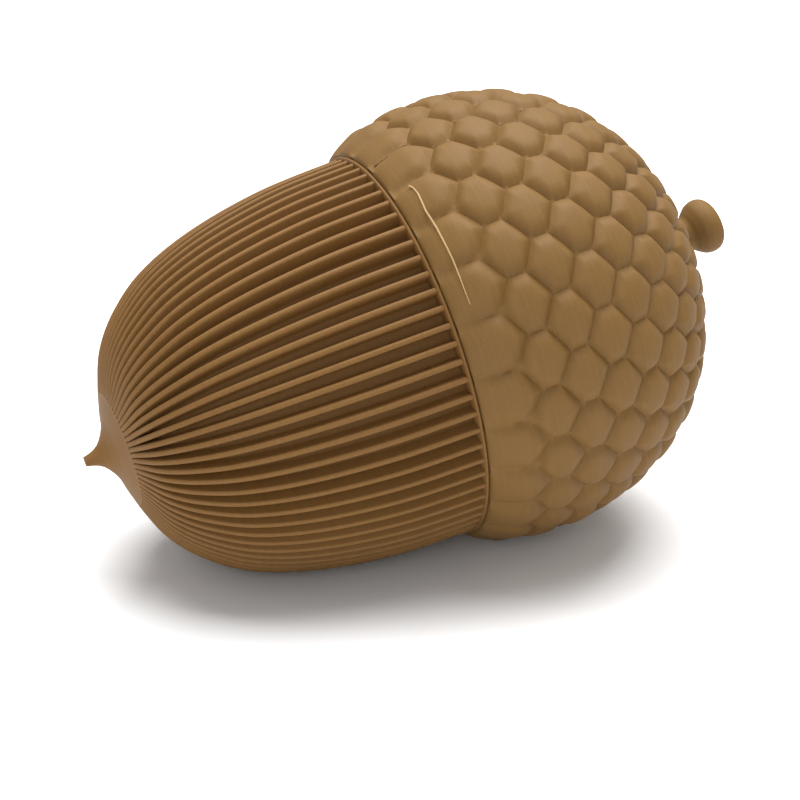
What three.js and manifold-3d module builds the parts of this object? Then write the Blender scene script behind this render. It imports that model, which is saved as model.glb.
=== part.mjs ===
// A printed acorn: a ribbed nut that is a cup, and a scaled cap with a stem that is its lid.
// It lies on its side. Millimetres, +Z up. Origin: middle of the footprint, on the surface it lies on.
import * as THREE from "three";
import * as BufferGeometryUtils from "three/addons/utils/BufferGeometryUtils.js";
import Module from "manifold-3d";

// ---- driving dimensions -------------------------------------------------------------------
// Along the acorn's axis, u is measured from the joint face: the tip is at -u, the stem at +u.
const NUT_RADIUS = 30.4; // crest of the fins at the joint
const TIP_LENGTH = 51.8; // joint face to the end of the tip
const FIN_COUNT = 70;
const FIN_THICKNESS = 0.84; // two extruded lines
const FIN_DEPTH = 2.5;
const FIN_START_ARC = 2.9; // along the outline; nearer the tip, the fins run together
const FIN_STATIONS = 7;
const NUT_WALL = 3.8; // fin crest to the inside of the cup
const FLANGE_THICKNESS = 0.6;
const FLANGE_RADIUS = 30.6;
const SPIGOT_RADIUS = 27.6; // the short neck of the cup that the cap slides over
const SPIGOT_HEIGHT = 5;
const SPIGOT_WALL = 1.4;

const CAP_HEIGHT = 46.9;
const CAP_RADIUS = 34.8;
const CAP_WALL = 3.4;
const JOINT_GAP = 0.3; // between the cap's rim and the flange, and round the spigot
const RIM_RADIUS = 31.4;
const RIM_CHAMFER = 0.4;
const SCALES_PER_ROW = 25;
const SCALE_ROWS = 10;
const FIRST_ROW = 5.1; // rim to the middle of the first row, along the outline
const ROW_PITCH = 5.44;
const ROW_GROWTH = 0.044; // each row is a little longer than the one before
const SCALE_RELIEF = 1.1; // crest of a scale down to the corners between three scales
const SCALE_ZIGZAG = 0.25; // share of the row pitch that a scale's points reach into the next row

const STEM_NECK_RADIUS = 2.6;
const STEM_HEAD_RADIUS = 4.45;
const STEM_LENGTH = 9.3; // from the top of the cap
const STEM_LEAN = THREE.MathUtils.degToRad(7); // away from the surface that the acorn lies on

const REST_TILT = THREE.MathUtils.degToRad(12.8); // axis to the surface, lying on nut and cap
const FLAT_DEPTH = 0.85; // what the small flat spots take off the lowest scales and fins

const BROWN = 0x80603a;

// ---- outlines, as (u, radius) ----------------------------------------------------------------
const outline = (points) => new THREE.SplineCurve(points.map(([u, r]) => new THREE.Vector2(u, r)));

const nutOutline = outline([
  [-46.9, 7.0],
  [-45.6, 10.9],
  [-43.6, 15.4],
  [-39.9, 19.8],
  [-33.9, 24.1],
  [-24.9, 27.4],
  [-12.9, 29.65],
  [-FLANGE_THICKNESS, NUT_RADIUS - 0.05],
]);

const capOutline = outline([
  [JOINT_GAP, RIM_RADIUS],
  [1.2, 32.2],
  [3, 33.0],
  [6, 33.9],
  [13.2, CAP_RADIUS],
  [20, 34.4],
  [27, 32.6],
  [33.5, 29.3],
  [38.5, 25.0],
  [42.5, 19.5],
  [45, 13.8],
  [46.4, 8.0],
  [CAP_HEIGHT, STEM_NECK_RADIUS],
]);

// A point on an outline at an arc length, moved outwards along the outline's normal.
function offsetPoint(curve, arc, out) {
  const t = THREE.MathUtils.clamp(arc / curve.getLength(), 0, 1);
  const point = curve.getPointAt(t);
  const tangent = curve.getTangentAt(t);
  return new THREE.Vector2(point.x - tangent.y * out, point.y + tangent.x * out);
}

// Angles run round the axis from the side that the acorn lies on.
function around(u, radius, angle) {
  return new THREE.Vector3(u, radius * Math.sin(angle), -radius * Math.cos(angle));
}

function circle(u, radius, count, turn = 0) {
  const step = (2 * Math.PI) / count;
  return Array.from({ length: count }, (_, i) => around(u, radius, i * step + turn));
}

// ---- a closed skin over rings of points ---------------------------------------------------
// Neighbouring rings have the same number of points, or one has a whole multiple of the other's.
class Skin {
  constructor() {
    this.positions = [];
  }

  triangle(a, b, c) {
    for (const p of [a, b, c]) {
      this.positions.push(p.x, p.y, p.z);
    }
  }

  join(low, high) {
    if (high.length > low.length) {
      this.fan(high, low, true);
    } else {
      this.fan(low, high, false);
    }
  }

  // The ring with more points is many, the other few. flipped keeps the faces pointing out.
  fan(many, few, flipped) {
    const share = many.length / few.length;
    const put = (a, b, c) => (flipped ? this.triangle(a, b, c) : this.triangle(a, c, b));
    few.forEach((hub, j) => {
      for (let i = 0; i < share; i += 1) {
        put(many[j * share + i], hub, many[(j * share + i + 1) % many.length]);
      }
      if (few.length > 1) {
        put(hub, few[(j + 1) % few.length], many[((j + 1) * share) % many.length]);
      }
    });
  }

  rings(list) {
    for (let i = 1; i < list.length; i += 1) {
      this.join(list[i - 1], list[i]);
    }
  }

  geometry() {
    const loose = new THREE.BufferGeometry();
    loose.setAttribute("position", new THREE.Float32BufferAttribute(this.positions, 3));
    return BufferGeometryUtils.mergeVertices(loose, 1e-4);
  }
}

// ---- the nut: a cup with fins ---------------------------------------------------------------
// One ring of the finned wall: two points on each fin's crest and two on the floor beside it.
function finnedRing(crest, floor) {
  const step = (2 * Math.PI) / FIN_COUNT;
  const ring = [];
  for (let i = 0; i < FIN_COUNT; i += 1) {
    const middle = (i + 0.5) * step;
    const atCrest = FIN_THICKNESS / 2 / crest.y;
    const atFloor = FIN_THICKNESS / 2 / floor.y;
    ring.push(around(crest.x, crest.y, middle - atCrest));
    ring.push(around(crest.x, crest.y, middle + atCrest));
    ring.push(around(floor.x, floor.y, middle + atFloor));
    ring.push(around(floor.x, floor.y, middle + step - atFloor));
  }
  return ring;
}

function buildNut() {
  const step = (2 * Math.PI) / FIN_COUNT;
  const half = FIN_COUNT / 2;
  const length = nutOutline.getLength();
  const skin = new Skin();

  const tip = [
    [around(-TIP_LENGTH, 0, 0)],
    circle(-TIP_LENGTH, 0.75, half, step),
    circle(-50.3, 1.35, half, step),
    circle(-48.4, 3.0, half, step),
    circle(-46.9, 7.0, FIN_COUNT, step * 0.6),
  ];

  // The grooves deepen quickly where the fins part, then keep their depth up to the flange.
  const fins = [];
  for (let i = 0; i <= FIN_STATIONS; i += 1) {
    const share = i / FIN_STATIONS;
    const arc = FIN_START_ARC + (length - FIN_START_ARC) * share ** 1.25;
    const depth = i === 0 ? 0 : FIN_DEPTH * Math.min(1, 0.55 + 1.35 * share);
    fins.push(finnedRing(offsetPoint(nutOutline, arc, 0), offsetPoint(nutOutline, arc, -depth)));
  }
  // The last ring is square to the axis, so that the flange closes every groove.
  const last = nutOutline.getPointAt(1);
  fins[FIN_STATIONS] = finnedRing(last, new THREE.Vector2(last.x, last.y - FIN_DEPTH));
  const flange = fins[FIN_STATIONS].map((p) => {
    const scale = FLANGE_RADIUS / Math.hypot(p.y, p.z);
    return new THREE.Vector3(-FLANGE_THICKNESS, p.y * scale, p.z * scale);
  });

  const bore = SPIGOT_RADIUS - SPIGOT_WALL;
  const mouth = [
    circle(0, FLANGE_RADIUS, FIN_COUNT, step * 0.8),
    circle(0, SPIGOT_RADIUS, FIN_COUNT, step * 0.8),
    circle(SPIGOT_HEIGHT - 0.5, SPIGOT_RADIUS, FIN_COUNT, step * 0.8),
    circle(SPIGOT_HEIGHT, SPIGOT_RADIUS - 0.5, FIN_COUNT, step * 0.8),
    circle(SPIGOT_HEIGHT, bore, half, step * 1.3),
  ];

  const inside = [0.99, 0.78, 0.58, 0.4, 0.26, 0.14].map((share) => {
    const p = offsetPoint(nutOutline, length * share, -NUT_WALL);
    return circle(p.x, Math.min(p.y, bore), half, step * 1.3);
  });
  inside.push([around(-41.6, 0, 0)]);

  skin.rings([...tip, ...fins, flange, ...mouth, ...inside]);
  return skin.geometry();
}

// ---- the cap: a dome of overlapping scales, hollow, with a stem ------------------------------
// Arc length from the rim to the middle of a row of scales.
function rowArc(row) {
  return FIRST_ROW + ROW_PITCH * row + ROW_GROWTH * row * row;
}

// The zigzag line of scale corners after a row: twice as many points as the row has scales.
function seamRing(row) {
  const pitch = Math.PI / SCALES_PER_ROW;
  const ring = [];
  for (let i = 0; i < 2 * SCALES_PER_ROW; i += 1) {
    const onRow = (i + row) % 2 !== 0; // this point is at the middle of one of the row's scales
    if (row < 0) {
      const out = onRow ? -0.35 : 0;
      const p = offsetPoint(capOutline, RIM_CHAMFER, out);
      ring.push(around(p.x, p.y, i * pitch));
      continue;
    }
    const reach = rowArc(row + 1) - rowArc(row);
    const arc = rowArc(row) + reach * (0.5 + (onRow ? SCALE_ZIGZAG : -SCALE_ZIGZAG));
    const p = offsetPoint(capOutline, arc, -SCALE_RELIEF);
    ring.push(around(p.x, p.y, i * pitch));
  }
  return ring;
}

// One scale: a raised middle, a shoulder round it, and the six corners shared with its neighbours.
function addScale(skin, row, index, before, after) {
  const count = 2 * SCALES_PER_ROW;
  const centreAt = 2 * index + (row % 2 === 0 ? 1 : 0);
  const angle = (centreAt * Math.PI) / SCALES_PER_ROW;
  const at = (ring, shift) => ring[(centreAt + shift + count) % count];
  const corners = [at(before, -1), at(before, 0), at(before, 1)];
  corners.push(at(after, 1), at(after, 0), at(after, -1));
  const centrePoint = offsetPoint(capOutline, rowArc(row), 0.2);
  const centre = around(centrePoint.x, centrePoint.y, angle);
  const lift = new THREE.Vector3(0, Math.sin(angle), -Math.cos(angle));
  const normal = offsetPoint(capOutline, rowArc(row), 1).sub(offsetPoint(capOutline, rowArc(row), 0));
  lift.multiplyScalar(normal.y).add(new THREE.Vector3(normal.x, 0, 0));
  const shoulders = corners.map((corner) => {
    const p = corner.clone().lerp(centre, 0.42);
    return p.addScaledVector(lift, SCALE_RELIEF * 0.36);
  });
  corners.forEach((corner, i) => {
    const next = (i + 1) % corners.length;
    skin.triangle(centre, shoulders[i], shoulders[next]);
    skin.triangle(shoulders[i], corner, corners[next]);
    skin.triangle(shoulders[i], corners[next], shoulders[next]);
  });
}

function buildCap() {
  const skin = new Skin();
  const points = 2 * SCALES_PER_ROW;
  const bore = SPIGOT_RADIUS + JOINT_GAP;
  const length = capOutline.getLength();

  // Inside, from the crown down to the bore, and out along the rim.
  const crown = [around(CAP_HEIGHT - CAP_WALL - 0.6, 0, 0)];
  const inside = [0.88, 0.76, 0.62, 0.48, 0.33].map((share) => {
    const p = offsetPoint(capOutline, length * share, -CAP_WALL);
    return circle(p.x, p.y, SCALES_PER_ROW);
  });
  inside.push(circle(SPIGOT_HEIGHT + 6.5, bore, points));
  inside.push(circle(JOINT_GAP, bore, points));
  const rim = circle(JOINT_GAP, RIM_RADIUS - RIM_CHAMFER, points);
  let before = seamRing(-1);
  skin.rings([crown, ...inside, rim, before]);

  for (let row = 0; row < SCALE_ROWS; row += 1) {
    const after = seamRing(row);
    for (let i = 0; i < SCALES_PER_ROW; i += 1) {
      addScale(skin, row, i, before, after);
    }
    before = after;
  }

  // The stem leans and flares out to a round-edged head.
  const stem = [
    [-1.0, 6.8],
    [-0.2, 4.1],
    [1.6, STEM_NECK_RADIUS + 0.1],
    [3.6, STEM_NECK_RADIUS],
    [4.9, 3.55],
    [6.0, 4.2],
    [7.3, STEM_HEAD_RADIUS],
    [8.5, 4.0],
    [STEM_LENGTH, 2.8],
  ].map(([height, radius]) => leaningCircle(height, radius));
  skin.rings([before, ...stem, [leaningPoint(STEM_LENGTH + 0.2)]]);
  return skin.geometry();
}

// The stem's centre line starts at the top of the cap and leans up.
function leaningPoint(height) {
  const along = Math.cos(STEM_LEAN) * height;
  const up = 0.6 + Math.sin(STEM_LEAN) * height;
  return new THREE.Vector3(CAP_HEIGHT + along, 0, up);
}

function leaningCircle(height, radius) {
  const centre = leaningPoint(height);
  return circle(0, radius, SCALES_PER_ROW).map((p) => {
    p.applyAxisAngle(new THREE.Vector3(0, 1, 0), -STEM_LEAN);
    return p.add(centre);
  });
}

// ---- laying it on its side ------------------------------------------------------------------
function lay(geometry) {
  return geometry.rotateY(-REST_TILT);
}

const wasm = await Module();
wasm.setup();

// Takes off what lies under the surface, which leaves the small flat spots it rests on.
function flatten(geometry) {
  const mesh = new wasm.Mesh({
    numProp: 3,
    vertProperties: new Float32Array(geometry.attributes.position.array),
    triVerts: new Uint32Array(geometry.index.array),
  });
  const slab = new THREE.BoxGeometry(300, 300, 20).translate(0, 0, -10);
  slab.deleteAttribute("normal");
  slab.deleteAttribute("uv");
  const block = BufferGeometryUtils.mergeVertices(slab);
  const below = new wasm.Manifold(
    new wasm.Mesh({
      numProp: 3,
      vertProperties: new Float32Array(block.attributes.position.array),
      triVerts: new Uint32Array(block.index.array),
    }),
  );
  const cut = new wasm.Manifold(mesh).subtract(below).getMesh();
  const result = new THREE.BufferGeometry();
  result.setAttribute("position", new THREE.Float32BufferAttribute(cut.vertProperties, 3));
  result.setIndex(new THREE.Uint32BufferAttribute(cut.triVerts, 1));
  return result;
}

// The lowest points of both pieces set the height, and the ends set the middle.
const pieces = [
  ["nut", lay(buildNut())],
  ["cap", lay(buildCap())],
];
const whole = new THREE.Box3();
for (const [, geometry] of pieces) {
  geometry.computeBoundingBox();
  whole.union(geometry.boundingBox);
}
const middle = (whole.min.x + whole.max.x) / 2;

const plastic = new THREE.MeshStandardMaterial({ color: BROWN, roughness: 0.62, metalness: 0 });

const acorn = new THREE.Group();
acorn.name = "printed_acorn";
for (const [name, geometry] of pieces) {
  geometry.translate(-middle, 0, -whole.min.z - FLAT_DEPTH);
  const solid = flatten(geometry);
  solid.computeVertexNormals();
  const mesh = new THREE.Mesh(solid, plastic);
  mesh.name = name;
  acorn.add(mesh);
}

export default acorn;
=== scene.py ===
"""A printed acorn lying on its side: a finned cup for the nut, and a scaled, stemmed cap as its lid."""

import logging
import math
import random
from dataclasses import dataclass, field
from enum import Enum
from functools import cached_property
from typing import Sequence

import bpy
import numpy as np
from mathutils import Matrix, Vector


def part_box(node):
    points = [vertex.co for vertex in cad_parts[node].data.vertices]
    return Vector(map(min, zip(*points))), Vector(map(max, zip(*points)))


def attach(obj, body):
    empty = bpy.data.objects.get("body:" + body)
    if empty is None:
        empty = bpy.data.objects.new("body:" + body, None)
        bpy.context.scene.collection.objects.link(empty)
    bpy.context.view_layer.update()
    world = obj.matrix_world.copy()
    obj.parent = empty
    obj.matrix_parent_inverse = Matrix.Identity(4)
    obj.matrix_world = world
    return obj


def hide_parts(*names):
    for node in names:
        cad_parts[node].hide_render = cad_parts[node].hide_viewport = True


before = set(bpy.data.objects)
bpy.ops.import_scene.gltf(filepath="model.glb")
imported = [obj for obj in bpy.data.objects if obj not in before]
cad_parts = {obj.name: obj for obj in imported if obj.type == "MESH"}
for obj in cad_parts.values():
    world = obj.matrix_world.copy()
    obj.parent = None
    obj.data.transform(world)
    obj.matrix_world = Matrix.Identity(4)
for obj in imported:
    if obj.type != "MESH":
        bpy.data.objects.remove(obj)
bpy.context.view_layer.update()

LOG = logging.getLogger("acorn")

MM = 0.001
FULL_TURN = 2 * math.pi
REST_TILT = math.radians(12.8)  # the acorn's axis to the floor
WELD = 0.004 * MM  # points nearer than this are one point
FINE_STEPS = 60  # divisions of each span of an outline
NOISE_SPAN = (0.3, 0.7)  # where nearly all values of a noise texture lie
TONE = "tone"  # a vertex attribute: painted shade below zero, paler stretched plastic above

Ring = tuple[float, float]  # (height along the axis, radius), in millimetres


class Slot(Enum):
    """Names of the nut's and the cap's materials."""

    NUT = "nut_plastic"
    CAP = "cap_plastic"


# ---- small tools ---------------------------------------------------------------------------


def deselect_all() -> None:
    """Leaves edit mode and deselects every object."""
    if bpy.context.object is not None and bpy.context.object.mode != "OBJECT":
        bpy.ops.object.mode_set(mode="OBJECT")
    bpy.ops.object.select_all(action="DESELECT")


def make_active(*objects: bpy.types.Object) -> None:
    """Selects these objects only.

    Args:
        *objects: What to select; the first becomes the active one.
    """
    deselect_all()
    for item in objects:
        item.select_set(True)
    bpy.context.view_layer.objects.active = objects[0]


def read_points(piece: bpy.types.Object) -> np.ndarray:
    """Reads the vertices of a piece.

    Args:
        piece: The object whose mesh is read.

    Returns:
        One row of x, y, z per vertex.
    """
    points = np.empty(len(piece.data.vertices) * 3)
    piece.data.vertices.foreach_get("co", points)
    return points.reshape(-1, 3)


def write_points(piece: bpy.types.Object, points: np.ndarray) -> None:
    """Puts the piece's vertices at these rows of x, y, z."""
    piece.data.vertices.foreach_set("co", points.ravel())
    piece.data.update()


def select_points(piece: bpy.types.Object, chosen: np.ndarray) -> None:
    """Selects these vertices, and the edges and faces that lie wholly among them, in edit mode.

    Args:
        piece: The object whose mesh is selected in.
        chosen: One true or false value per vertex.
    """
    make_active(piece)
    bpy.ops.object.mode_set(mode="EDIT")
    bpy.ops.mesh.select_mode(type="VERT")
    bpy.ops.mesh.select_all(action="DESELECT")
    bpy.ops.object.mode_set(mode="OBJECT")
    piece.data.vertices.foreach_set("select", chosen)
    bpy.ops.object.mode_set(mode="EDIT")
    bpy.ops.mesh.select_mode(type="VERT")


def open_border(piece: bpy.types.Object, above: bool) -> np.ndarray:
    """Finds the open border at one end of a tube whose axis is Z.

    Args:
        piece: The tube.
        above: True for the border with the larger Z.

    Returns:
        One true or false value per vertex.
    """
    mesh = piece.data
    sides = np.zeros(len(mesh.edges), dtype=int)
    loops = np.empty(len(mesh.loops), dtype=int)
    mesh.loops.foreach_get("edge_index", loops)
    np.add.at(sides, loops, 1)
    ends = np.empty(len(mesh.edges) * 2, dtype=int)
    mesh.edges.foreach_get("vertices", ends)
    border = np.zeros(len(mesh.vertices), dtype=bool)
    border[ends.reshape(-1, 2)[sides == 1].ravel()] = True
    height = read_points(piece)[:, 2]
    middle = (height[border].min() + height[border].max()) / 2
    return border & ((height > middle) == above)


def around(place: np.ndarray, angle: np.ndarray) -> np.ndarray:
    """Turns heights and radii into points round Z.

    Args:
        place: Rows of height and radius, in millimetres.
        angle: One angle per row, from +X towards +Y.

    Returns:
        Rows of x, y, z, in metres.
    """
    radius = place[:, 1] * MM
    return np.c_[radius * np.cos(angle), radius * np.sin(angle), place[:, 0] * MM]


def extrude_rings(piece: bpy.types.Object, border: np.ndarray, rings: Sequence[Ring]) -> None:
    """Extrudes an open border through rings round Z and gathers the last one into a pole.

    Each point keeps its direction from the axis.

    Args:
        piece: The tube that has the open border.
        border: Its border, one true or false value per vertex.
        rings: Height and radius of each ring.
    """
    select_points(piece, border)
    for height, radius in rings:
        bpy.ops.mesh.extrude_region_move()
        bpy.ops.object.mode_set(mode="OBJECT")
        points = read_points(piece)
        picked = np.empty(len(points), dtype=bool)
        piece.data.vertices.foreach_get("select", picked)
        away = points[picked, :2]
        away *= radius * MM / np.hypot(away[:, 0], away[:, 1])[:, None]
        points[picked] = np.c_[away, np.full(len(away), height * MM)]
        write_points(piece, points)
        bpy.ops.object.mode_set(mode="EDIT")
    bpy.ops.mesh.extrude_region_move()
    bpy.ops.mesh.merge(type="CENTER")
    bpy.ops.object.mode_set(mode="OBJECT")


def turn_copies(piece: bpy.types.Object, count: int) -> None:
    """Repeats a sector round Z and welds the copies into one skin.

    Args:
        piece: The sector, which spans one share of a full turn.
        count: How many sectors make the full turn.
    """
    make_active(piece)
    bpy.ops.object.mode_set(mode="EDIT")
    bpy.ops.mesh.select_all(action="SELECT")
    bpy.ops.mesh.spin(
        steps=count - 1,
        dupli=True,
        angle=FULL_TURN * (count - 1) / count,
        center=(0, 0, 0),
        axis=(0, 0, 1),
    )
    bpy.ops.mesh.select_all(action="SELECT")
    bpy.ops.mesh.remove_doubles(threshold=WELD)
    bpy.ops.object.mode_set(mode="OBJECT")


def face_outwards(piece: bpy.types.Object) -> None:
    """Turns the faces of every closed shell outwards.

    Args:
        piece: The object whose mesh is put right.
    """
    make_active(piece)
    bpy.ops.object.mode_set(mode="EDIT")
    bpy.ops.mesh.select_all(action="SELECT")
    bpy.ops.mesh.normals_make_consistent(inside=False)
    bpy.ops.object.mode_set(mode="OBJECT")


@dataclass(frozen=True)
class Thread:
    """A closed thread of plastic swept along a path, to be joined into the piece it sticks to."""

    path: np.ndarray  # points in metres
    radii: np.ndarray  # one per point, in metres
    tone: float  # -1 for painted shade, standing in for the shadow in the seam's pits; 1 for pale stretched plastic
    sides: int = 8

    def build(self) -> bpy.types.Object:
        """Extrudes the thread point by point.

        Returns:
            The thread, with its tone on every vertex.
        """
        points = [Vector(point) for point in self.path]
        ways = [after - before for before, after in zip(points, points[1:])]
        ways.append(ways[-1])
        deselect_all()
        bpy.ops.mesh.primitive_circle_add(
            vertices=self.sides,
            radius=self.radii[0],
            fill_type="NGON",
            location=points[0],
            rotation=ways[0].to_track_quat("Z", "Y").to_euler(),
        )
        thread = bpy.context.object
        bpy.ops.object.transform_apply(location=True, rotation=True)
        bpy.ops.object.mode_set(mode="EDIT")
        bpy.ops.mesh.select_all(action="SELECT")
        for i in range(1, len(points)):
            bpy.ops.mesh.extrude_region_move()
            bpy.ops.object.mode_set(mode="OBJECT")
            turn = ways[i - 1].rotation_difference(ways[i])
            growth = self.radii[i] / self.radii[i - 1]
            for vertex in thread.data.vertices:
                if vertex.select:
                    vertex.co = points[i] + turn @ (vertex.co - points[i - 1]) * growth
            bpy.ops.object.mode_set(mode="EDIT")
        bpy.ops.object.mode_set(mode="OBJECT")
        face_outwards(thread)
        tones = thread.data.attributes.new(TONE, "FLOAT", "POINT")
        tones.data.foreach_set("value", np.full(len(thread.data.vertices), self.tone))
        return thread


def join_into(piece: bpy.types.Object, extras: Sequence[bpy.types.Object]) -> None:
    """Joins small parts into the piece that they are one with."""
    make_active(piece, *extras)
    bpy.ops.object.join()


def smooth_path(knots: Sequence[Sequence[float]], step: float) -> np.ndarray:
    """Runs a path through knots with even steps.

    Args:
        knots: Rows of numbers whose first two are measured as lengths.
        step: The distance between points.

    Returns:
        The points, in rows like the knots.
    """
    rows = np.array(knots, dtype=float)
    lengths = np.concatenate([[0], np.cumsum(np.hypot(*np.diff(rows[:, :2], axis=0).T))])
    where = np.linspace(0, lengths[-1], max(2, int(lengths[-1] / step)))
    return np.stack([np.interp(where, lengths, column) for column in rows.T], axis=-1)


@dataclass(frozen=True)
class Outline:
    """A smooth curve through (height, radius) points in millimetres, read by arc length."""

    points: tuple[Ring, ...]

    @cached_property
    def _fine(self) -> tuple[np.ndarray, np.ndarray]:
        """Divides the curve finely.

        Returns:
            The arc length at each fine point, and the fine points' heights and radii.
        """
        knots = np.array(self.points, dtype=float)
        padded = np.vstack([knots[:1], knots, knots[-1:]])
        t = np.linspace(0, 1, FINE_STEPS, endpoint=False)[:, None]
        spans = []
        for a, b, c, d in zip(padded[:-3], padded[1:-2], padded[2:-1], padded[3:]):
            pull_in = (c - a) / 2
            pull_out = (d - b) / 2
            cubic = (2 * b - 2 * c + pull_in + pull_out) * t**3
            square = (3 * c - 3 * b - 2 * pull_in - pull_out) * t**2
            spans.append(cubic + square + pull_in * t + b)
        fine = np.vstack([*spans, knots[-1:]])
        steps = np.hypot(*np.diff(fine, axis=0).T)
        return np.concatenate([[0], np.cumsum(steps)]), fine

    @property
    def length(self) -> float:
        """The curve's arc length in millimetres."""
        return float(self._fine[0][-1])

    def arc_at_radius(self, radius: float) -> float:
        """Finds the arc length at a radius, on a curve whose radius only grows."""
        arcs, fine = self._fine
        return float(np.interp(radius, fine[:, 1], arcs))

    def at(self, arc: np.ndarray | float, out: np.ndarray | float = 0) -> np.ndarray:
        """Finds points by arc length, moved outwards along the curve's normal.

        Args:
            arc: Arc lengths from the first point.
            out: How far to move outwards, in millimetres.

        Returns:
            Heights and radii, along the last axis.
        """
        arcs, fine = self._fine
        slope = np.gradient(fine, arcs, axis=0)
        slope /= np.hypot(slope[:, 0], slope[:, 1])[:, None]
        place = np.stack([np.interp(arc, arcs, fine[:, i]) for i in (0, 1)], axis=-1)
        along = np.stack([np.interp(arc, arcs, slope[:, i]) for i in (0, 1)], axis=-1)
        normal = np.stack([-along[..., 1], along[..., 0]], axis=-1)
        return place + normal * np.asarray(out)[..., None]


# ---- finishes ------------------------------------------------------------------------------


class NodeBench:
    """Adds and wires nodes in one material."""

    def __init__(self, name: str) -> None:
        """Starts a material with an empty node tree.

        Args:
            name: The material's name.
        """
        self.material = bpy.data.materials.new(name)
        self.material.use_nodes = True
        self.tree = self.material.node_tree
        self.tree.nodes.clear()

    def add(self, kind: str, **settings: object) -> bpy.types.Node:
        """Adds a node.

        Args:
            kind: The node's type name.
            **settings: Attributes of the node to set.

        Returns:
            The new node.
        """
        node = self.tree.nodes.new(kind)
        for name, value in settings.items():
            setattr(node, name, value)
        return node

    def wire(self, source: bpy.types.NodeSocket, target: bpy.types.NodeSocket) -> None:
        """Links an output to an input."""
        self.tree.links.new(source, target)

    def math(self, operation: str, *values: object) -> bpy.types.NodeSocket:
        """Adds a Math node.

        Args:
            operation: The node's operation.
            *values: Numbers or output sockets for its inputs, in order.

        Returns:
            The node's output.
        """
        node = self.add("ShaderNodeMath", operation=operation)
        for socket, value in zip(node.inputs, values):
            if isinstance(value, bpy.types.NodeSocket):
                self.wire(value, socket)
            else:
                socket.default_value = value
        return node.outputs[0]

    def noise(self, place: bpy.types.NodeSocket, scale: float, detail: float) -> bpy.types.NodeSocket:
        """Adds a noise texture.

        Args:
            place: Where the noise is read.
            scale: Its scale, per metre.
            detail: Its number of octaves.

        Returns:
            The texture's value output.
        """
        node = self.add("ShaderNodeTexNoise")
        node.inputs["Scale"].default_value = scale
        node.inputs["Detail"].default_value = detail
        self.wire(place, node.inputs["Vector"])
        return node.outputs["Fac"]

    def spread(
        self, value: bpy.types.NodeSocket, low: float, high: float, bottom: float, top: float
    ) -> bpy.types.NodeSocket:
        """Maps a value from one span onto another, clamped.

        Args:
            value: The value to map.
            low: Start of its span.
            high: End of its span.
            bottom: What the start becomes.
            top: What the end becomes.

        Returns:
            The mapped value.
        """
        node = self.add("ShaderNodeMapRange")
        for socket, number in zip(node.inputs[1:5], (low, high, bottom, top)):
            socket.default_value = number
        self.wire(value, node.inputs[0])
        return node.outputs[0]


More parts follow.
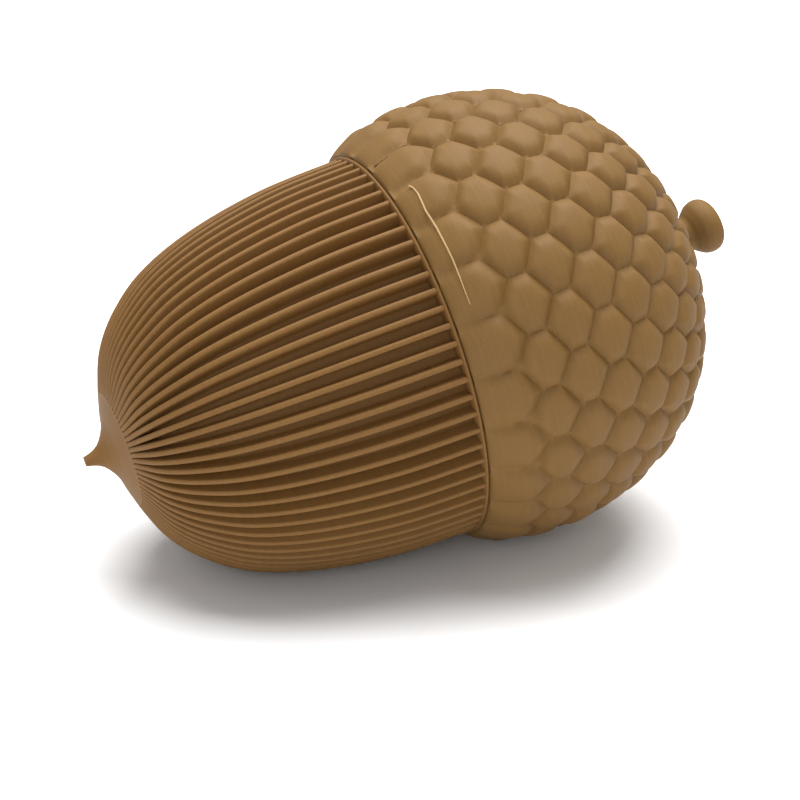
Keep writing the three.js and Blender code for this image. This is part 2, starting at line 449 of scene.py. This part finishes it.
@dataclass(frozen=True)
class PrintedPlastic:
    """Matte filament laid down in fine layers across the acorn's axis."""

    name: str
    colour: tuple[float, float, float]
    pale: tuple[float, float, float]
    # Painted shade: this near-black brown stands in for the shadow inside the pits of the print seam.
    painted_crevice_shade: tuple[float, float, float] = (0.030, 0.014, 0.004)
    stretched: tuple[float, float, float] = (0.46, 0.30, 0.14)
    layer_pitch: float = 0.28 * MM
    layer_depth: float = 0.06 * MM
    grain_depth: float = 0.12  # share of the layer depth
    roughness: float = 0.66
    specular: float = 0.25
    gloss_swing: float = 0.05  # how far the roughness strays
    bump_strength: float = 0.14
    wander: float = 0.35  # how far a layer strays, as a share of the pitch
    wander_scale: float = 90
    mottle_scale: float = 60
    grain_scale: float = 3500
    band_layers: float = 3  # layers in one band of even thickness
    tint_swings: tuple[float, float, float] = (0.10, 0.08, 0.10)  # by mottle, bands and grain

    def marked(self, bench: NodeBench, colour: bpy.types.NodeSocket) -> bpy.types.NodeSocket:
        """Adds the painted shade of the print seam's pits and the paler stretched threads to a colour.

        Args:
            bench: The material's nodes.
            colour: The plain plastic's colour.

        Returns:
            The colour with its marks.
        """
        tone = bench.add("ShaderNodeAttribute", attribute_name=TONE).outputs["Fac"]
        # Below zero the attribute mixes in the painted shade of the seam's pits; above zero, the paler
        # stretched plastic.
        for mark, sign in ((self.painted_crevice_shade, -1), (self.stretched, 1)):
            mix = bench.add("ShaderNodeMix", data_type="RGBA")
            bench.wire(bench.spread(bench.math("MULTIPLY", tone, sign), 0, 1, 0, 1), mix.inputs["Factor"])
            bench.wire(colour, mix.inputs["A"])
            mix.inputs["B"].default_value = (*mark, 1)
            colour = mix.outputs["Result"]
        return colour

    def material(self) -> bpy.types.Material:
        """Builds the node material.

        Returns:
            The new material.
        """
        bench = NodeBench(self.name)
        place = bench.add("ShaderNodeTexCoord").outputs["Object"]
        shader = bench.add("ShaderNodeBsdfPrincipled")
        shader.inputs["Specular IOR Level"].default_value = self.specular

        # Height along the acorn's axis, unevened a little, drives the layer lines.
        along = bench.add("ShaderNodeVectorMath", operation="DOT_PRODUCT")
        bench.wire(place, along.inputs[0])
        along.inputs[1].default_value = (math.cos(REST_TILT), 0, math.sin(REST_TILT))
        wander = bench.noise(place, self.wander_scale, 2)
        stray = self.wander * self.layer_pitch
        height = bench.math("MULTIPLY_ADD", wander, stray, along.outputs["Value"])
        layers = bench.math("SINE", bench.math("MULTIPLY", height, FULL_TURN / self.layer_pitch))

        # Some layers are a touch paler, and the whole surface is mottled and grained.
        band = bench.add("ShaderNodeTexNoise", noise_dimensions="1D")
        band.inputs["Scale"].default_value = 1 / (self.band_layers * self.layer_pitch)
        band.inputs["Detail"].default_value = 2
        bench.wire(along.outputs["Value"], band.inputs["W"])
        mottle = bench.noise(place, self.mottle_scale, 3)
        grain = bench.noise(place, self.grain_scale, 2)
        shade = 0.5
        for noise, swing in zip((mottle, band.outputs["Fac"], grain), self.tint_swings):
            shade = bench.math("MULTIPLY_ADD", bench.spread(noise, *NOISE_SPAN, -1, 1), swing, shade)
        tint = bench.add("ShaderNodeMix", data_type="RGBA")
        bench.wire(shade, tint.inputs["Factor"])
        tint.inputs["A"].default_value = (*self.colour, 1)
        tint.inputs["B"].default_value = (*self.pale, 1)
        colour = self.marked(bench, tint.outputs["Result"])
        bench.wire(colour, shader.inputs["Base Color"])
        matt = (self.roughness - self.gloss_swing, self.roughness + self.gloss_swing)
        bench.wire(bench.spread(mottle, *NOISE_SPAN, *matt), shader.inputs["Roughness"])

        relief = bench.math("MULTIPLY_ADD", grain, self.grain_depth, bench.math("MULTIPLY", layers, 0.5))
        bump = bench.add("ShaderNodeBump")
        bump.inputs["Strength"].default_value = self.bump_strength
        bump.inputs["Distance"].default_value = self.layer_depth
        bench.wire(relief, bump.inputs["Height"])
        bench.wire(bump.outputs["Normal"], shader.inputs["Normal"])
        output = bench.add("ShaderNodeOutputMaterial")
        bench.wire(shader.outputs["BSDF"], output.inputs["Surface"])
        return bench.material


@dataclass(frozen=True)
class PaleFloor:
    """A plain pale studio floor."""

    name: str = "pale_floor"
    colour: tuple[float, float, float] = (0.9, 0.9, 0.9)

    def material(self) -> bpy.types.Material:
        """Builds the node material.

        Returns:
            The new material.
        """
        bench = NodeBench(self.name)
        shader = bench.add("ShaderNodeBsdfPrincipled")
        shader.inputs["Base Color"].default_value = (*self.colour, 1)
        shader.inputs["Roughness"].default_value = 0.9
        output = bench.add("ShaderNodeOutputMaterial")
        bench.wire(shader.outputs["BSDF"], output.inputs["Surface"])
        return bench.material


# ---- laying the finished pieces down --------------------------------------------------------


@dataclass(frozen=True)
class Resting:
    """Where the acorn's own frame, with its axis on Z and the joint at zero, lies in the row frame."""

    flange_radius: float
    tip: Ring

    @cached_property
    def place(self) -> Matrix:
        """Takes the acorn's own frame, whose lowest side is +X, to the row frame.

        Returns:
            The placing matrix.
        """
        low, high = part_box("nut")
        rise = high[2] - self.flange_radius * MM * math.cos(REST_TILT)
        height, radius = self.tip
        reach = (height * math.cos(REST_TILT) - radius * math.sin(REST_TILT)) * MM
        turn = Matrix.Rotation(math.pi / 2 - REST_TILT, 4, "Y")
        return Matrix.Translation((low[0] - reach, 0, rise)) @ turn

    def lay(self, piece: bpy.types.Object) -> None:
        """Lays a piece down, puts its place into its mesh, and flattens what touches the floor.

        Args:
            piece: The finished piece, in the acorn's own frame.
        """
        piece.matrix_world = self.place
        make_active(piece)
        bpy.ops.object.transform_apply(location=True, rotation=True, scale=True)
        points = read_points(piece)
        points[:, 2] = np.maximum(points[:, 2], 0)
        write_points(piece, points)


def finish_piece(piece: bpy.types.Object, finish: PrintedPlastic, node: str) -> None:
    """Gives a piece its material and ties it to the CAD.

    Args:
        piece: The finished object.
        finish: What it is made of.
        node: The CAD node that the piece stands for.
    """
    piece.data.materials.clear()
    piece.data.materials.append(finish.material())
    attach(piece, "root")
    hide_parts(node)
    LOG.info("%s: %d faces, stands for %s", piece.name, len(piece.data.polygons), node)


# ---- the nut ---------------------------------------------------------------------------------


@dataclass
class Nut:
    """The cup: a smooth tip, fins with deep grooves, a thin flange, and a neck that the cap covers."""

    fin_count: int = 70
    fin_thickness: float = 0.84
    fin_depth: float = 2.5
    fin_start: float = 9.0  # radius at which the grooves open
    groove_run: float = 0.6  # how quickly the grooves deepen
    edge_round: float = 0.26
    flange_radius: float = 30.6
    flange_thickness: float = 0.45
    spigot_radius: float = 27.6
    spigot_height: float = 5.0
    spigot_wall: float = 1.4
    wall: float = 3.8
    tip_rings: int = 12
    fin_rings: int = 62
    ring_crowding: float = 1.15  # above one, rings crowd towards the tip
    lip: float = 0.12  # the flange's chamfer
    spigot_chamfer: float = 0.5
    inner_rings: tuple[float, ...] = (0.97, 0.84, 0.7, 0.56, 0.42, 0.32)  # shares of the outline
    pole_radius: float = 0.3  # the last ring on the blunt end of the tip
    crease: float = math.radians(50)
    outline: Outline = field(
        default_factory=lambda: Outline(
            (
                (-51.8, 0.75),
                (-50.2, 1.2),
                (-48.9, 2.2),
                (-47.6, 4.4),
                (-46.9, 7.0),
                (-45.6, 10.9),
                (-43.6, 15.4),
                (-39.9, 19.8),
                (-33.9, 24.1),
                (-24.9, 27.4),
                (-12.9, 29.65),
                (-0.45, 30.35),
            )
        )
    )

    def section(self) -> list[tuple[float, float, float]]:
        """Describes half a fin's cross-section, from the middle of the groove to the crest.

        Returns:
            Rows of sideways distance from the fin's middle in millimetres, share of the half pitch
            that the distance may take at most, and depth below the crest as a share of the groove.
        """
        half = self.fin_thickness / 2
        corner = self.edge_round / self.fin_depth
        return [
            (9.0, 1.0, 1.0),
            (half + 0.22, 0.97, 1.0),
            (half + 0.02, 0.94, 1 - 0.2 / self.fin_depth),
            (half, 0.91, 1.1 * corner),
            (half - 0.3 * self.edge_round, 0.8, 0.3 * corner),
            (half - self.edge_round, 0.45, 0.0),
            (0.0, 0.0, -0.01),
        ]

    def build_sector(self) -> bpy.types.Object:
        """Lofts one fin, with half a groove on each side, from the tip to the flange.

        Returns:
            The sector.
        """
        half = self.section()
        columns = [(-y, -share, depth) for y, share, depth in half] + half[-2::-1]
        across = len(columns) - 1
        rows = self.tip_rings + self.fin_rings
        deselect_all()
        bpy.ops.mesh.primitive_grid_add(x_subdivisions=across, y_subdivisions=rows, size=2)
        sector = bpy.context.object
        sector.name = "nut"
        grid = (read_points(sector)[:, :2] + 1) / 2
        column = np.rint(grid[:, 0] * across).astype(int)
        row = np.rint(grid[:, 1] * rows).astype(int)

        opening = self.outline.arc_at_radius(self.fin_start)
        in_tip = np.linspace(0, opening, self.tip_rings + 1)
        along = np.linspace(0, 1, self.fin_rings + 1)[1:] ** self.ring_crowding
        in_fins = opening + (self.outline.length - opening) * along
        arc = np.concatenate([in_tip, in_fins])[row]

        pitch = FULL_TURN / self.fin_count
        depth = self.fin_depth * (1 - np.exp(-np.maximum(arc - opening, 0) / self.groove_run))
        sideways, most, share = (np.array(values)[column] for values in zip(*columns))
        place = self.outline.at(arc, -share * depth)
        at_mouth = row == rows
        place[at_mouth, 0] = -self.flange_thickness
        place[at_mouth, 1] = self.outline.points[-1][1] - (share * depth)[at_mouth]
        limit = np.abs(most) * pitch / 2
        angle = np.clip(sideways / place[:, 1], -limit, limit)
        even = (column / across - 0.5) * pitch
        angle = np.where(row <= self.tip_rings, even, angle) + pitch / 2
        write_points(sector, around(place, angle))
        return sector

    def build(self) -> bpy.types.Object:
        """Makes the whole cup in the acorn's own frame.

        Returns:
            The cup, closed and hollow.
        """
        cup = self.build_sector()
        turn_copies(cup, self.fin_count)
        flange, thick, lip = self.flange_radius, self.flange_thickness, self.lip
        bore = self.spigot_radius - self.spigot_wall
        mouth = [
            (-thick, flange - lip),
            (-thick + lip, flange),
            (-lip, flange),
            (0, flange - lip),
            (0, self.spigot_radius),
            (self.spigot_height - self.spigot_chamfer, self.spigot_radius),
            (self.spigot_height, self.spigot_radius - self.spigot_chamfer),
            (self.spigot_height, bore),
        ]
        for part in self.inner_rings:
            height, radius = self.outline.at(self.outline.length * part, -self.wall)
            mouth.append((height, min(radius, bore)))
        extrude_rings(cup, open_border(cup, above=True), mouth)
        extrude_rings(cup, open_border(cup, above=False), [(self.outline.points[0][0], self.pole_radius)])
        face_outwards(cup)
        return cup

    def dress(self, cup: bpy.types.Object) -> None:
        """Smooths the laid cup and finishes it.

        Args:
            cup: The cup, in the row frame.
        """
        make_active(cup)
        bpy.ops.object.shade_smooth_by_angle(angle=self.crease)
        plastic = PrintedPlastic("nut_plastic", (0.139, 0.065, 0.0150), (0.213, 0.107, 0.029))
        finish_piece(cup, plastic, "nut")


# ---- the cap ---------------------------------------------------------------------------------


@dataclass
class Stem:
    """The stem: a neck with plain layer ridges that flares to a round-edged head and leans."""

    base_height: float = 46.9
    offset: float = 0.85
    lean: float = math.radians(7)
    sides: int = 64
    ridge_pitch: float = 0.27
    ridge_depth: float = 0.035
    root_radius: float = 1.0  # the last ring of the buried end
    outline: Outline = field(
        default_factory=lambda: Outline(
            (
                (-1.6, 5.6),
                (-0.6, 4.0),
                (0.8, 2.9),
                (2.4, 2.6),
                (3.9, 2.75),
                (4.9, 3.5),
                (5.9, 4.2),
                (7.1, 4.45),
                (8.2, 4.15),
                (9.0, 3.2),
                (9.3, 1.8),
            )
        )
    )

    def build(self) -> bpy.types.Object:
        """Extrudes the stem ring by ring.

        Returns:
            The stem, in the acorn's own frame.
        """
        first_height, first_radius = self.outline.points[0]
        deselect_all()
        bpy.ops.mesh.primitive_circle_add(
            vertices=self.sides,
            radius=first_radius * MM,
            fill_type="NOTHING",
            location=(0, 0, first_height * MM),
        )
        stem = bpy.context.object
        bpy.ops.object.transform_apply(location=True)
        steps = int(self.outline.length / (self.ridge_pitch / 2))
        rings = []
        for i in range(1, steps + 1):
            ridge = self.ridge_depth * (1 if i % 2 else -1)
            height, radius = self.outline.at(self.outline.length * i / steps, ridge)
            rings.append((float(height), float(radius)))
        everywhere = np.ones(len(stem.data.vertices), dtype=bool)
        extrude_rings(stem, everywhere, rings)
        extrude_rings(stem, open_border(stem, above=False), [(first_height, self.root_radius)])
        stem.matrix_world = Matrix.Translation(
            (-self.offset * MM, 0, self.base_height * MM)
        ) @ Matrix.Rotation(-self.lean, 4, "Y")
        make_active(stem)
        bpy.ops.object.transform_apply(location=True, rotation=True)
        face_outwards(stem)
        return stem


@dataclass
class Cap:
    """The lid: a hollow dome covered with staggered rows of cushioned scales, and its stem."""

    scales_per_row: int = 25
    rows: int = 10
    first_row: float = 5.1
    row_pitch: float = 5.44
    row_growth: float = 0.044
    zigzag: float = 0.25
    relief: float = 1.3
    crest: float = 0.3
    doming: float = 0.3  # shares of the relief: doming, borders, and their widening at corners
    border_notch: float = 0.35
    corner_notch: float = 0.35
    rim_relief: float = 0.35  # share of the relief left at the rim
    crown_fade: float = 24  # the relief fades over this much arc towards the crown
    crown_relief: float = 0.3  # and never goes below this share
    scale_cuts: int = 8
    scar_rows: int = 8
    scar_column: int = -12  # in scales from the lowest side
    scar_girth: float = 34  # radius at which the scar's steps are measured
    scar_height: float = 0.93  # share of the way from a border's top to its corners' depth
    scar_stray: tuple[float, float] = (0.05, 0.0016)  # millimetres along the axis, radians round it
    scar_radius: tuple[float, float, float] = (0.045, 0.045, 0.012)  # mean, spread and least added
    scar_foot: float = 0.2  # radius of the blob at the rim
    scar_seed: int = 7
    strand_girth: float = 0.58  # millimetres round the band for each degree
    strand_lift: float = 0.12  # how far its waves stand off the band
    strand_waves: float = 9
    whiskers: tuple[tuple[tuple[float, float, float], tuple[float, float, float]], ...] = (
        ((4.0, -1.9, 46.6), (2.1, -2.0, 48.7)),
        ((3.0, -2.7, 46.7), (1.7, -2.2, 48.0)),
    )
    whisker_sag: tuple[float, float, float] = (0.15, -0.2, 0)
    whisker_radius: float = 0.05
    whisker_points: int = 7
    rim_height: float = 0.14
    rim_chamfer: float = 0.12
    turn: float = math.radians(0.9)  # of the scales round the axis
    bore: float = 27.9
    bore_depth: float = 11
    wall: float = 3.4
    inner_rings: tuple[float, ...] = (0.36, 0.48, 0.6, 0.72, 0.84, 0.93)  # shares of the outline
    crown: tuple[Ring, ...] = ((46.3, 6.0), (46.5, 3.0))  # under the stem
    crease: float = math.radians(60)
    stem: Stem = field(default_factory=Stem)
    outline: Outline = field(
        default_factory=lambda: Outline(
            (
                (0.3, 31.05),
                (1.2, 31.75),
                (3.0, 32.7),
                (6.0, 33.8),
                (13.2, 34.8),
                (20.0, 34.4),
                (27.0, 32.6),
                (33.5, 29.3),
                (38.5, 25.0),
                (42.5, 19.5),
                (45.0, 13.8),
                (46.4, 8.0),
                (46.9, 2.6),
            )
        )
    )

    def row_arc(self, row: int) -> float:
        """Arc length from the rim to the middle of a row of scales."""
        return self.first_row + self.row_pitch * row + self.row_growth * row**2

    def seam_arc(self, row: int, sideways: np.ndarray) -> np.ndarray:
        """Arc length of the zigzag seam after a row.

        Args:
            row: The row that the seam ends; -1 is the straight line at the rim.
            sideways: 0 at the middle of the row's own scales, 1 halfway to the next scale.

        Returns:
            The seam's arc lengths from the rim.
        """
        if row < 0:
            return np.full_like(sideways, self.rim_chamfer)
        reach = self.row_arc(row + 1) - self.row_arc(row)
        return self.row_arc(row) + reach * (0.5 + self.zigzag * (1 - 2 * sideways))

    def lift(self, arc: np.ndarray, to_edge: np.ndarray, to_corner: np.ndarray) -> np.ndarray:
        """Height of a scale's face over the outline.

        Args:
            arc: Arc lengths from the rim.
            to_edge: 0 in the middle of the scale, 1 on its border.
            to_corner: 0 in the middle of the scale, 1 on its corners.

        Returns:
            The heights, in millimetres.
        """
        past_rim = (arc - self.rim_chamfer) / self.first_row
        fade = np.clip(self.rim_relief + (1 - self.rim_relief) * past_rim, 0, 1)
        to_crown = (self.outline.length - arc) / self.crown_fade
        size = self.relief * fade * np.clip(to_crown, self.crown_relief, 1)
        border, corner = (0.5 - 0.5 * np.cos(math.pi * reach**3) for reach in (to_edge, to_corner))
        depth = self.doming * to_edge**2 + self.border_notch * border + self.corner_notch * corner
        return self.crest * fade - size * depth

    def on_border(self, path: np.ndarray) -> np.ndarray:
        """Places a path of arcs and angles on the borders between scales.

        Args:
            path: Rows of arc length in millimetres and angle from the lowest side in radians.

        Returns:
            The points, in metres.
        """
        arc, angle = path[:, 0], path[:, 1]
        lift = self.lift(arc, np.ones_like(arc), np.full_like(arc, self.scar_height))
        return around(self.outline.at(arc, lift), angle)

    def build_scar(self) -> bpy.types.Object:
        """Lays the crumbly line where the printer started each layer, along borders of scales.

        Returns:
            The line, as a closed thread of uneven thickness, darkened with painted shade.
        """
        pitch = FULL_TURN / self.scales_per_row
        sides = [(self.scar_column + half) * pitch + self.turn for half in (0, 0.5)]
        knots = [(0.5, sides[0])]
        for row in range(self.scar_rows):
            reach = self.row_arc(row + 1) - self.row_arc(row)
            low, high = (self.row_arc(row) + reach * (0.5 + way * self.zigzag) for way in (-1, 1))
            knots += [(low, sides[row % 2]), (high, sides[(row + 1) % 2])]
        path = smooth_path([(arc, angle * self.scar_girth) for arc, angle in knots], 0.3)
        path[:, 1] /= self.scar_girth
        chance = random.Random(self.scar_seed)
        along, round_axis = self.scar_stray
        path[:, 1] += [chance.gauss(0, round_axis) for _ in path]
        path[:, 0] += [chance.gauss(0, along) for _ in path]
        mean, spread, least = self.scar_radius
        radii = np.array([abs(chance.gauss(mean, spread)) + least for _ in path]) * MM
        radii[:3] = self.scar_foot * MM
        # The dark tone is painted shade: it stands in for the shadow in the seam's pits.
        return Thread(self.on_border(path), radii, -0.6, sides=6).build()

    def build_strand(self) -> bpy.types.Object:
        """Lays the loose strand that is stuck to the smooth band over the rim.

        Returns:
            The strand, which thins out towards its far end.
        """
        knots = [
            (2.7, -155.7),
            (3.0, -154.5),
            (3.15, -151.6),
            (2.8, -146.0),
            (2.95, -140.2),
            (3.0, -131.3),
            (2.9, -126.5),
            (2.8, -121.9),
            (2.8, -118.8),
        ]
        path = smooth_path([(arc, angle * self.strand_girth) for arc, angle in knots], 0.45)
        arc, angle = path[:, 0], np.radians(path[:, 1] / self.strand_girth)
        share = np.linspace(0, 1, len(path))
        out = self.crest * 0.6 + self.strand_lift * np.sin(self.strand_waves * share) ** 2
        radii = (0.17 - 0.11 * share**3 - 0.06 * (1 - share) ** 8) * MM
        return Thread(around(self.outline.at(arc, out), angle), radii, 0.9).build()

    def build_whiskers(self) -> list[bpy.types.Object]:
        """Draws the short whiskers of plastic from the crown to the stem's neck.

        Returns:
            The whiskers.
        """
        share = np.linspace(0, 1, self.whisker_points)[:, None]
        sag = np.sin(math.pi * share) * np.array(self.whisker_sag)
        radii = np.full(self.whisker_points, self.whisker_radius * MM)
        drawn = []
        for start, end in self.whiskers:
            path = np.array(start) * (1 - share) + np.array(end) * share + sag
            drawn.append(Thread(path * MM, radii, 1.0, sides=6).build())
        return drawn

    def scale_points(self, flat: np.ndarray, row: int) -> np.ndarray:
        """Shapes one flat hexagon into a scale of a row.

        Args:
            flat: Points of a hexagon of unit radius with corners up and down.
            row: The row it belongs to, from the rim.

        Returns:
            The points on the cap, in metres.
        """
        apothem = math.sqrt(3) / 2
        across, up = flat[:, 0], flat[:, 1]
        sideways = np.clip(np.abs(across) / apothem, 0, 1)
        edge = 1 - np.abs(across) / math.sqrt(3)
        share = np.clip(up / edge, -1, 1) / 2 + 0.5
        lower = self.seam_arc(row - 1, 1 - sideways)
        upper = self.seam_arc(row, sideways)
        arc = lower + (upper - lower) * share

        to_edge = np.maximum(sideways, np.abs(across) / 2 / apothem + np.abs(up))
        to_corner = np.hypot(across, up)
        if row == 0:  # the band at the rim runs into the lower half of these scales
            to_edge, to_corner = (np.where(up < 0, sideways, reach) for reach in (to_edge, to_corner))
        to_edge, to_corner = (np.clip(reach, 0, 1) for reach in (to_edge, to_corner))
        half_pitch = math.pi / self.scales_per_row
        angle = across / apothem * half_pitch + (0 if row % 2 else half_pitch) + self.turn
        return around(self.outline.at(arc, self.lift(arc, to_edge, to_corner)), angle)

    def build_gore(self) -> bpy.types.Object:
        """Models one hexagon, and shapes a copy of it for each row, from the rim to the crown.

        Returns:
            One scale of every row, as one object.
        """
        deselect_all()
        bpy.ops.mesh.primitive_circle_add(vertices=6, radius=1, fill_type="TRIFAN")
        pattern = bpy.context.object
        bpy.ops.object.mode_set(mode="EDIT")
        bpy.ops.mesh.select_all(action="SELECT")
        bpy.ops.mesh.subdivide(number_cuts=self.scale_cuts)
        bpy.ops.object.mode_set(mode="OBJECT")
        flat = read_points(pattern)
        scales = [pattern]
        for row in range(1, self.rows):
            make_active(pattern)
            bpy.ops.object.duplicate()
            scales.append(bpy.context.object)
            write_points(scales[-1], self.scale_points(flat, row))
        write_points(pattern, self.scale_points(flat, 0))
        make_active(*scales)
        bpy.ops.object.join()
        pattern.name = "cap"
        return pattern

    def build(self) -> bpy.types.Object:
        """Makes the whole cap in the acorn's own frame.

        Returns:
            The cap, with its stem and its blemishes.
        """
        dome = self.build_gore()
        turn_copies(dome, self.scales_per_row)
        rim_radius = self.outline.points[0][1]
        inside = [
            (self.rim_height, rim_radius - self.rim_chamfer),
            (self.rim_height, self.bore),
            (self.rim_height + self.bore_depth, self.bore),
        ]
        for part in self.inner_rings:
            height, radius = self.outline.at(self.outline.length * part, -self.wall)
            inside.append((float(height), float(radius)))
        extrude_rings(dome, open_border(dome, above=False), inside)
        extrude_rings(dome, open_border(dome, above=True), self.crown)
        face_outwards(dome)
        extras = [self.stem.build(), self.build_scar(), self.build_strand(), *self.build_whiskers()]
        join_into(dome, extras)
        return dome

    def dress(self, lid: bpy.types.Object) -> None:
        """Smooths the laid cap and finishes it.

        Args:
            lid: The cap, in the row frame.
        """
        make_active(lid)
        bpy.ops.object.shade_smooth_by_angle(angle=self.crease)
        plastic = PrintedPlastic("cap_plastic", (0.131, 0.0665, 0.0158), (0.200, 0.107, 0.029))
        finish_piece(lid, plastic, "cap")


# ---- studio ----------------------------------------------------------------------------------


@dataclass
class Studio:
    """A pale floor, soft lights and the camera."""

    azimuth: float = math.radians(21.8)
    elevation: float = math.radians(21.1)
    distance: float = 339.3 * MM
    lens: float = 99.0
    aim_right: float = 2.04 * MM
    aim_up: float = -7.46 * MM
    aim_height: float = -2.4  # along the acorn's axis, millimetres from the joint
    lamp_aim: tuple[float, float, float] = (0, 0, 0.03)
    floor_size: float = 6
    world_strength: float = 0.47

    def camera(self, resting: Resting) -> None:
        """Sets up the camera, level, with the acorn's joint near the middle of the view.

        Args:
            resting: Where the acorn lies.
        """
        right = Vector((math.cos(self.azimuth), -math.sin(self.azimuth), 0))
        ahead = Vector((math.sin(self.azimuth), math.cos(self.azimuth), 0))
        forward = ahead * math.cos(self.elevation) - Vector((0, 0, math.sin(self.elevation)))
        up = right.cross(forward)
        aim = resting.place @ Vector((0, 0, self.aim_height * MM))
        aim += right * self.aim_right + up * self.aim_up
        data = bpy.data.cameras.new("camera")
        data.lens = self.lens
        data.sensor_width = 36
        data.clip_start = 0.01
        data.clip_end = 20
        camera = bpy.data.objects.new("camera", data)
        bpy.context.scene.collection.objects.link(camera)
        camera.location = aim - forward * self.distance
        camera.rotation_euler = forward.to_track_quat("-Z", "Y").to_euler()
        bpy.context.scene.camera = camera

    def lamp(self, name: str, place: Sequence[float], size: float, power: float) -> None:
        """Hangs a square soft light that faces the acorn.

        Args:
            name: The light's name.
            place: Where it hangs, in metres.
            size: Its side, in metres.
            power: Its power, in watts.
        """
        data = bpy.data.lights.new(name, "AREA")
        data.shape = "SQUARE"
        data.size = size
        data.energy = power
        lamp = bpy.data.objects.new(name, data)
        bpy.context.scene.collection.objects.link(lamp)
        lamp.location = place
        aim = Vector(self.lamp_aim) - Vector(place)
        lamp.rotation_euler = aim.to_track_quat("-Z", "Y").to_euler()

    def floor(self) -> None:
        """Lays the floor."""
        deselect_all()
        bpy.ops.mesh.primitive_plane_add(size=self.floor_size)
        floor = bpy.context.object
        floor.name = "floor"
        floor.data.materials.append(PaleFloor().material())

    def build(self, resting: Resting) -> None:
        """Sets up the floor, the lights, the surroundings and the camera.

        Args:
            resting: Where the acorn lies.
        """
        self.floor()
        self.camera(resting)
        self.lamp("overhead", (0.1, 0.12, 0.8), 0.75, 14.0)
        self.lamp("front", (-0.5, -0.9, 0.35), 0.7, 3.0)
        world = bpy.data.worlds.new("studio")
        world.use_nodes = True
        backdrop = world.node_tree.nodes["Background"]
        backdrop.inputs["Color"].default_value = (1, 1, 1, 1)
        backdrop.inputs["Strength"].default_value = self.world_strength
        bpy.context.scene.world = world
        bpy.context.scene.view_settings.view_transform = "Standard"


def main() -> None:
    logging.basicConfig(level=logging.INFO, format="%(name)s %(message)s")
    nut = Nut()
    resting = Resting(flange_radius=nut.flange_radius, tip=nut.outline.points[0])
    for part in (nut, Cap()):
        piece = part.build()
        resting.lay(piece)
        part.dress(piece)
    Studio().build(resting)


if __name__ == "__main__":
    main()
